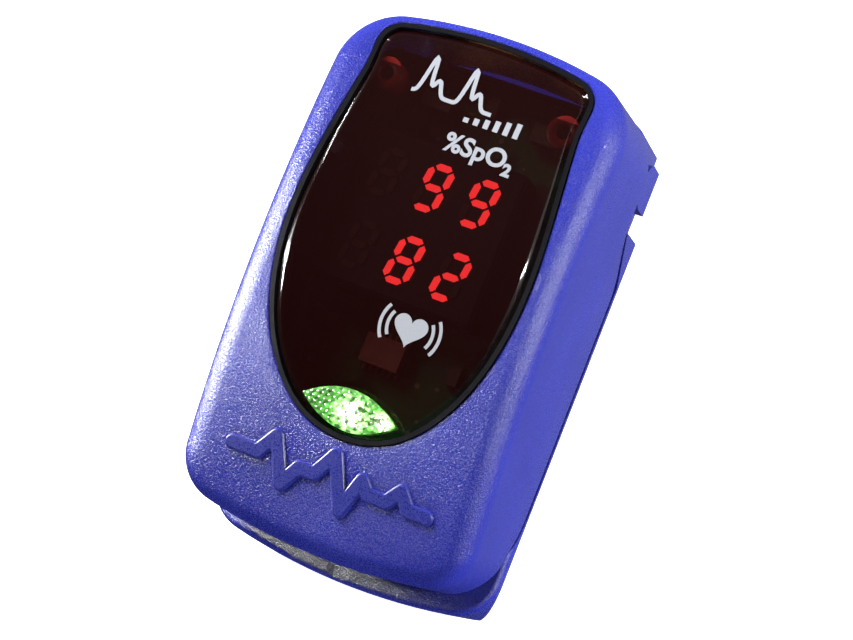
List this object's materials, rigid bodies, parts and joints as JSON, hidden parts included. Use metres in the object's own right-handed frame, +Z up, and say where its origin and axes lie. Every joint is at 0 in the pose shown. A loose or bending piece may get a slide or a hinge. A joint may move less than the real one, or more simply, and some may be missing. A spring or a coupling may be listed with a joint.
{
  "type": "fingertip pulse oximeter",
  "caption": "Clip-on fingertip pulse oximeter: two sprung plastic jaws with finger pads, a window with a segment display, and a slide-out battery tray.",
  "frame": {"origin": "centre of the bounding box in plan, on the face the device rests on", "axes": "+X right, +Y from the finger opening to the hinge end, +Z up through the display"},
  "size_m": [0.033, 0.057, 0.032],
  "materials": {
    "cover_blue": "spark-textured saturated blue moulding",
    "gasket_black": "matte black seal",
    "smoked_lens": "smoked red clear plastic, polished",
    "green_lens": "clear green, faceted",
    "display_body": "dark filled epoxy face",
    "lit_red": "glowing diffuser",
    "unlit_grey": "unlit diffuser",
    "board_green": "solder mask",
    "chip_black": "moulded package",
    "ceramic_parts": "ceramic chip bodies",
    "led_body": "white package",
    "chassis_plastic": "dark moulded plastic",
    "screw_steel": "zinc plated",
    "pad_silicone": "soft grey silicone",
    "clear_window": "clear",
    "pin_steel": "ground steel",
    "acetal_white": "natural acetal",
    "spring_steel": "spring wire",
    "frame_blue": "spark-textured saturated blue moulding",
    "plate_grey": "blank satin plate",
    "contact_nickel": "nickel plated",
    "cell_jacket": "plain printed jacket"
  },
  "bodies": {
    "upper_unit": {"top_cover": "cover_blue", "window_gasket": "gasket_black", "display_window": "smoked_lens", "pulse_indicator_lens": "green_lens", "display_module": "display_body", "lit_segments": "lit_red", "unlit_segments": "unlit_grey", "main_circuit_board": "board_green", "processor_chip": "chip_black", "board_components": "ceramic_parts", "indicator_led": "led_body", "upper_chassis": "chassis_plastic", "chassis_screws": "screw_steel", "upper_finger_pad": "pad_silicone", "emitter_window": "clear_window", "led_emitter": "led_body"},
    "hinge_carriage": {"hinge_pin": "pin_steel", "guide_block_left": "acetal_white", "guide_block_right": "acetal_white", "lift_springs": "spring_steel", "torsion_springs": "spring_steel"},
    "lower_jaw": {"lower_frame": "frame_blue", "bottom_cover": "frame_blue", "cover_screws": "screw_steel", "rating_plate": "plate_grey", "lower_finger_pad": "pad_silicone", "detector_window": "clear_window", "detector_board": "board_green", "photodiode": "chip_black", "battery_contact_plates": "contact_nickel", "battery_contact_springs": "contact_nickel"},
    "battery_tray_unit": {"battery_tray": "frame_blue", "battery_left": "cell_jacket", "battery_right": "cell_jacket", "tray_bridge_contact": "contact_nickel"}
  },
  "joints": [
    {"name": "jaw_spread", "type": "slide", "parent": "upper_unit", "child": "hinge_carriage", "axis": [0, 0, -1], "range_m": [0, 0.004], "stiffness_N_per_m": 400, "springref_m": -0.004, "deforming": ["lift_springs"]},
    {"name": "jaw_open", "type": "hinge", "parent": "hinge_carriage", "child": "lower_jaw", "pos_m": [0, 0.0208, 0.0137], "axis": [1, 0, 0], "range_deg": [0, 12], "stiffness_Nm_per_rad": 0.08, "springref_deg": -28.65},
    {"name": "tray_slide", "type": "slide", "parent": "lower_jaw", "child": "battery_tray_unit", "axis": [0, 1, 0], "range_m": [0, 0.048]}
  ]
}
